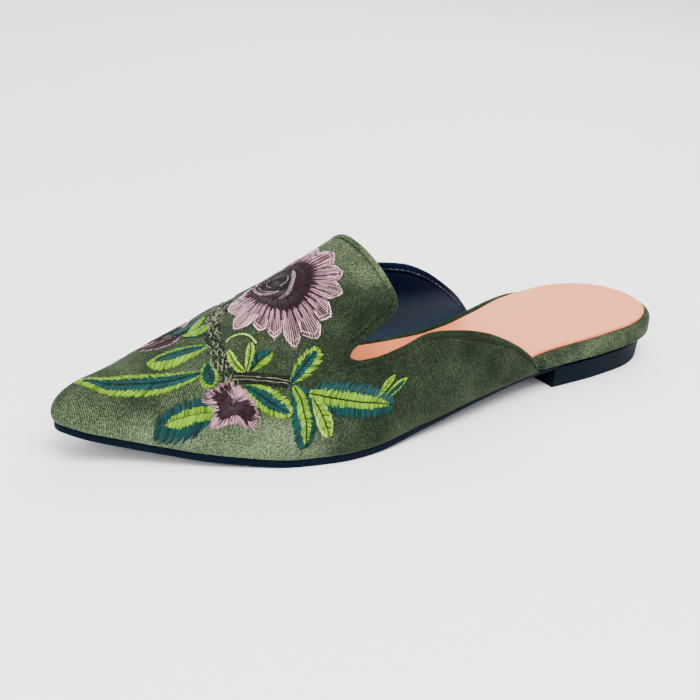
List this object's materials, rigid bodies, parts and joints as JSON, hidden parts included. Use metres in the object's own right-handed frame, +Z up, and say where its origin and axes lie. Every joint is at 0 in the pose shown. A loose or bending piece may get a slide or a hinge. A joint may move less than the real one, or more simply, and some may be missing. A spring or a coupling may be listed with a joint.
{
  "type": "mule",
  "caption": "Backless flat mule with a pointed toe, a tongue rising over the instep, low side wings, a smooth insole and a low stacked block heel.",
  "frame": {"origin": "on the floor under the middle of the shoe's bounding box", "axes": "+X from the heel to the toe, +Y to the side of the little toe, +Z up"},
  "size_m": [0.2668, 0.087, 0.0659],
  "materials": {
    "olive_velvet": "short pile velvet with a soft sheen",
    "blush_leather": "smooth matt",
    "navy_rubber": "matt",
    "navy_lining": "smooth satin",
    "embroidery_thread": "glossy satin stitch in several colours"
  },
  "bodies": {
    "root": {"outsole": "navy_rubber", "heel": "navy_rubber", "insole_board": "olive_velvet", "insole": "blush_leather", "upper": "olive_velvet"}
  },
  "joints": []
}
